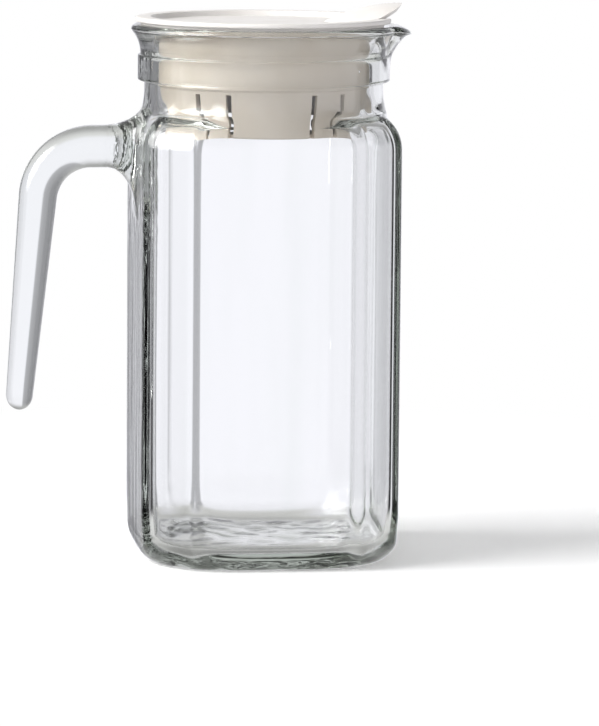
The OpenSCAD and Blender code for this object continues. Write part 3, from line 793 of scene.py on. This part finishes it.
# floor, studio light, camera
studio = {
    "floorRadius": 0.34, "floorColour": (0.86, 0.86, 0.86, 1), "floorGlow": 0.22,
    "shadowFrom": 0.11, "shadowTo": 0.3,
    # tones all round by azimuth, 0 straight behind the jug: white where the glass is looked through,
    # dark and grey cards on the left, a dark card on the right
    "ring": ((-180, 0.95), (-110, 0.95), (-105, 0.6), (-97, 0.6), (-92, 1.0), (-82, 1.0), (-77, 0.05),
             (-48, 0.05), (-42, 0.3), (-20, 0.27), (-9, 0.38), (-3.5, 0.45), (-0.5, 1.0), (22, 1.0),
             (30, 0.9), (53, 0.85), (57, 0.03), (79, 0.03), (82, 1.0), (110, 1.0), (180, 0.95)),
    "lavender": 1.06,
    "aboveLeft": 0.6, "aboveRight": 0.3, "aboveSide": 0.6, "aboveFrom": 0.2, "aboveTo": 0.6,
    "below": 0.8, "belowFrom": -0.27, "belowTo": -0.42,
    # two dark cards low down and a large soft lamp high on the left: tone, azimuth, height,
    # and the angles from its middle where it starts to fade and ends
    "patches": ((0.06, -95, -36, 20, 33), (0.4, 10, -62, 14, 40), (9.5, -101, 29, 14, 30)),
}


def makeFloor():
    bm = bmesh.new()
    bmesh.ops.create_circle(bm, cap_ends=True, segments=96, radius=studio["floorRadius"])
    mesh = bpy.data.meshes.new("floor")
    bm.to_mesh(mesh)
    bm.free()
    floor = bpy.data.objects.new("floor", mesh)
    bpy.context.scene.collection.objects.link(floor)
    material = bpy.data.materials.new("paleFloor")
    material.use_nodes = True
    tree = material.node_tree
    tree.nodes.clear()
    output = tree.nodes.new("ShaderNodeOutputMaterial")
    matt = tree.nodes.new("ShaderNodeBsdfDiffuse")
    matt.inputs["Color"].default_value = studio["floorColour"]
    glow = tree.nodes.new("ShaderNodeEmission")
    glow.inputs["Strength"].default_value = studio["floorGlow"]
    both = tree.nodes.new("ShaderNodeAddShader")
    tree.links.new(matt.outputs[0], both.inputs[0])
    tree.links.new(glow.outputs[0], both.inputs[1])
    # towards its rim the floor fades to the white behind it
    place = tree.nodes.new("ShaderNodeTexCoord")
    reach = tree.nodes.new("ShaderNodeVectorMath")
    reach.operation = "LENGTH"
    tree.links.new(place.outputs["Object"], reach.inputs[0])
    white = tree.nodes.new("ShaderNodeEmission")
    faded = tree.nodes.new("ShaderNodeMixShader")
    share = ranged(tree, reach.outputs["Value"], studio["shadowFrom"], studio["shadowTo"])
    tree.links.new(share, faded.inputs[0])
    tree.links.new(both.outputs[0], faded.inputs[1])
    tree.links.new(white.outputs[0], faded.inputs[2])
    # seen through or in the glass the floor gives way to the studio's own screens
    path = tree.nodes.new("ShaderNodeLightPath")
    clear = tree.nodes.new("ShaderNodeBsdfTransparent")
    seen = tree.nodes.new("ShaderNodeMixShader")
    inGlass = mathNode(tree, "MAXIMUM", path.outputs["Is Transmission Ray"], path.outputs["Is Glossy Ray"])
    tree.links.new(inGlass, seen.inputs[0])
    tree.links.new(faded.outputs[0], seen.inputs[1])
    tree.links.new(clear.outputs[0], seen.inputs[2])
    tree.links.new(seen.outputs[0], output.inputs["Surface"])
    floor.data.materials.append(material)


def makeStudioLight():
    world = bpy.data.worlds.new("studio")
    bpy.context.scene.world = world
    world.use_nodes = True
    tree = world.node_tree
    tree.nodes.clear()
    output = tree.nodes.new("ShaderNodeOutputWorld")
    background = tree.nodes.new("ShaderNodeBackground")
    tree.links.new(background.outputs[0], output.inputs["Surface"])
    direction = tree.nodes.new("ShaderNodeTexCoord").outputs["Generated"]
    parts = tree.nodes.new("ShaderNodeSeparateXYZ")
    tree.links.new(direction, parts.inputs[0])
    height = parts.outputs[2]
    turn = mathNode(tree, "ARCTAN2", parts.outputs[0], parts.outputs[1])
    share = mathNode(tree, "MULTIPLY_ADD", turn, 1 / math.tau, 0.5)  # 0 to 1 round the horizon
    ring = tree.nodes.new("ShaderNodeValToRGB")
    ramp = ring.color_ramp
    ramp.interpolation = "EASE"
    for _ in range(len(studio["ring"]) - 2):
        ramp.elements.new(0.5)
    for element, (angle, tone) in zip(ramp.elements, studio["ring"]):
        element.position, element.color = angle / 360 + 0.5, (tone, tone, tone * studio["lavender"], 1)
    tree.links.new(share, ring.inputs[0])
    overhead = blendColours(tree, ranged(tree, parts.outputs[0], -studio["aboveSide"], studio["aboveSide"]),
                            grey(studio["aboveLeft"]), grey(studio["aboveRight"]))
    colour = blendColours(tree, ranged(tree, height, studio["aboveFrom"], studio["aboveTo"]),
                          ring.outputs[0], overhead)
    down = mathNode(tree, "MULTIPLY", height, -1)
    colour = blendColours(tree, ranged(tree, down, -studio["belowFrom"], -studio["belowTo"]),
                          colour, grey(studio["below"]))
    for tone, azimuth, rise, inner, outer in studio["patches"]:
        side, rise = math.radians(azimuth), math.radians(rise)
        facing = tree.nodes.new("ShaderNodeVectorMath")
        facing.operation = "DOT_PRODUCT"
        facing.inputs[1].default_value = (
            math.sin(side) * math.cos(rise), math.cos(side) * math.cos(rise), math.sin(rise))
        tree.links.new(direction, facing.inputs[0])
        fade, full = math.cos(math.radians(outer)), math.cos(math.radians(inner))
        share = ranged(tree, facing.outputs["Value"], fade, full)
        colour = blendColours(tree, share, colour, grey(tone))
    path = tree.nodes.new("ShaderNodeLightPath")
    colour = blendColours(tree, path.outputs["Is Camera Ray"], colour, grey(1.0))
    tree.links.new(colour, background.inputs["Color"])


makeFloor()
makeStudioLight()
print("studio made")

camera = {
    "azimuth": -7.1, "distance": 1374.0, "height": 227.0, "focal": 5011.0, "roll": 0.47,
    "aimRight": 10.45, "aimLevel": 52.95, "photoHeight": 726,
}


def makeCamera():
    a = math.radians(camera["azimuth"])
    spot = Vector((math.sin(a) * camera["distance"], -math.cos(a) * camera["distance"], camera["height"]))
    right = Vector((math.cos(a), math.sin(a), 0))
    aim = right * camera["aimRight"] + Vector((0, 0, camera["aimLevel"]))
    data = bpy.data.cameras.new("photoCamera")
    data.sensor_width = 36.0
    data.lens = camera["focal"] / camera["photoHeight"] * data.sensor_width
    data.clip_start, data.clip_end = 0.05, 50
    eye = bpy.data.objects.new("photoCamera", data)
    bpy.context.scene.collection.objects.link(eye)
    eye.location = spot * millimetre
    look = (aim - spot).to_track_quat("-Z", "Y").to_matrix().to_4x4()
    eye.rotation_euler = (look @ Matrix.Rotation(math.radians(camera["roll"]), 4, "Z")).to_euler()
    bpy.context.scene.camera = eye


makeCamera()
bpy.context.scene.view_settings.view_transform = "Standard"
# light runs a long way inside thick glass before it comes out
bpy.context.scene.cycles.max_bounces = 40
bpy.context.scene.cycles.transmission_bounces = 40
bpy.context.scene.cycles.glossy_bounces = 12
